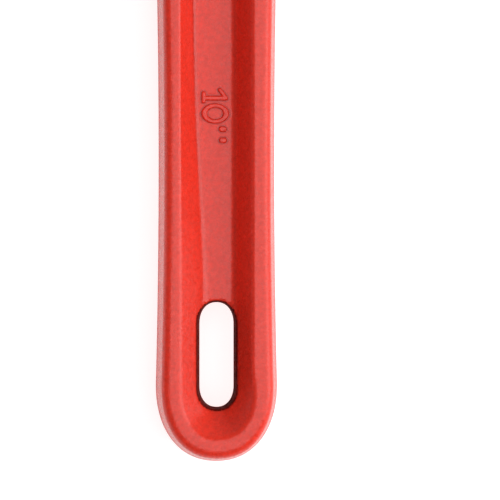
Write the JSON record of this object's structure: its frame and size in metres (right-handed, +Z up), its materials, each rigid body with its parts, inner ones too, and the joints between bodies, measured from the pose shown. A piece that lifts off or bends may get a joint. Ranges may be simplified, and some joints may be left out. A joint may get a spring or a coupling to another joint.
{
  "type": "pipe wrench",
  "caption": "Straight pipe wrench with an I-section handle, a hook jaw on a threaded shank, an adjusting nut in its housing and a toothed heel jaw.",
  "frame": {"origin": "middle of the outline's length and width, on the surface that the wrench lies on", "axes": "+Y from the hang hole towards the jaws, +X towards the side the mouth opens to, +Z up through the wrench's thickness"},
  "size_m": [0.0726, 0.2188, 0.022],
  "materials": {
    "red_enamel": "glossy red enamel over cast iron",
    "jaw_steel": "black oxide on forged steel, bright on the tooth tips",
    "nut_steel": "machined steel, lightly oxidised",
    "spring_steel": "blued spring steel",
    "pin_steel": "plain ground steel"
  },
  "bodies": {
    "handle": {"handle": "red_enamel", "heel_jaw": "jaw_steel", "heel_jaw_pin": "pin_steel", "spring_pin": "pin_steel", "coil_spring": "spring_steel"},
    "spring_leaf": {"flat_spring": "spring_steel", "spring_rivet": "pin_steel"},
    "hook_jaw": {"hook_jaw": "jaw_steel"},
    "nut": {"adjusting_nut": "nut_steel"}
  },
  "joints": [
    {"name": "jaw_rock", "type": "hinge", "parent": "handle", "child": "spring_leaf", "pos_m": [-0.01725, 0.04356, 0.011], "axis": [0, 0, 1], "range_deg": [0, 3.5], "stiffness_Nm_per_rad": 2, "springref_deg": -8.59, "deforming": ["coil_spring"]},
    {"name": "nut_spin", "type": "hinge", "parent": "spring_leaf", "child": "nut", "pos_m": [-0.01725, 0.04356, 0.011], "axis": [0.0698, 0.9976, 0], "range_deg": [-3240, 1215]},
    {"name": "jaw_slide", "type": "slide", "parent": "spring_leaf", "child": "hook_jaw", "axis": [0.0698, 0.9976, 0], "range_m": [-0.0135, 0.036]}
  ],
  "couplings": [
    {"joint": "nut_spin", "follows": "jaw_slide", "rad_per_m": -1570.8}
  ]
}
